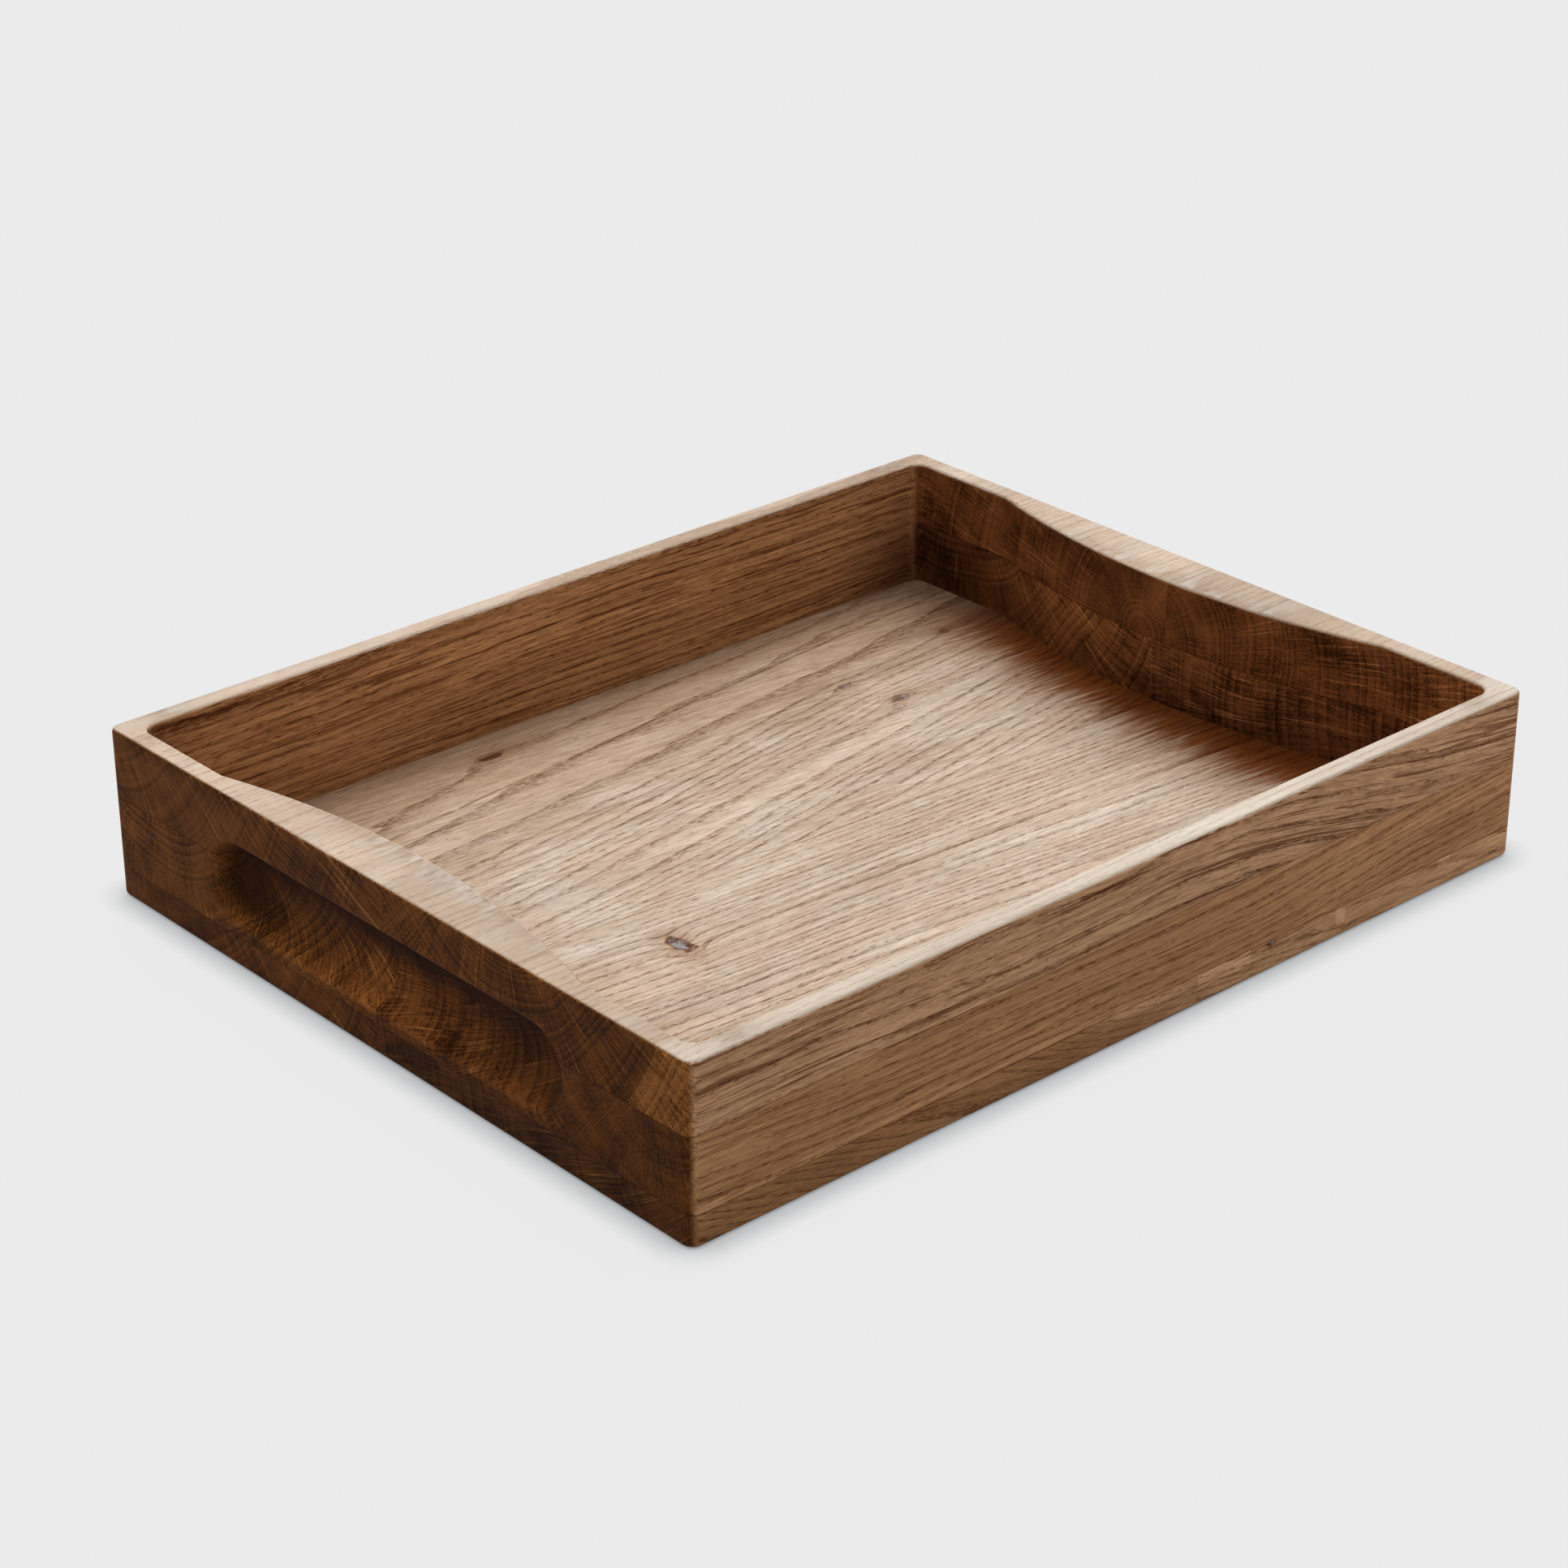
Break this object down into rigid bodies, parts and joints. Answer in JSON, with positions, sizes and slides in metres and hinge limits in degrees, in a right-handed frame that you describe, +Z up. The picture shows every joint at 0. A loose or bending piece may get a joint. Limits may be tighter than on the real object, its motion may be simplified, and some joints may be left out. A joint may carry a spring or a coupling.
{
  "type": "letter tray",
  "caption": "Shallow rectangular letter tray milled from laminated oak staves, with swollen end walls inside and rounded finger grips outside.",
  "frame": {"origin": "centre of the flat underside", "axes": "+X along the length and the grain, +Y from the front long side to the back, +Z up"},
  "size_m": [0.34, 0.272, 0.057],
  "materials": {
    "oak_bottom_front": "oiled oak, end grain on both ends",
    "oak_bottom_back": "oiled oak, end grain on both ends",
    "oak_middle_front": "oiled oak, end grain on both ends",
    "oak_middle_back": "oiled oak, end grain on both ends",
    "oak_top_front": "oiled oak with a sapwood edge, end grain on both ends",
    "oak_top_back": "oiled oak, end grain on both ends"
  },
  "bodies": {
    "root": {"bottom_front_stave": "oak_bottom_front", "bottom_back_stave": "oak_bottom_back", "middle_front_stave": "oak_middle_front", "middle_back_stave": "oak_middle_back", "top_front_stave": "oak_top_front", "top_back_stave": "oak_top_back"}
  },
  "joints": []
}
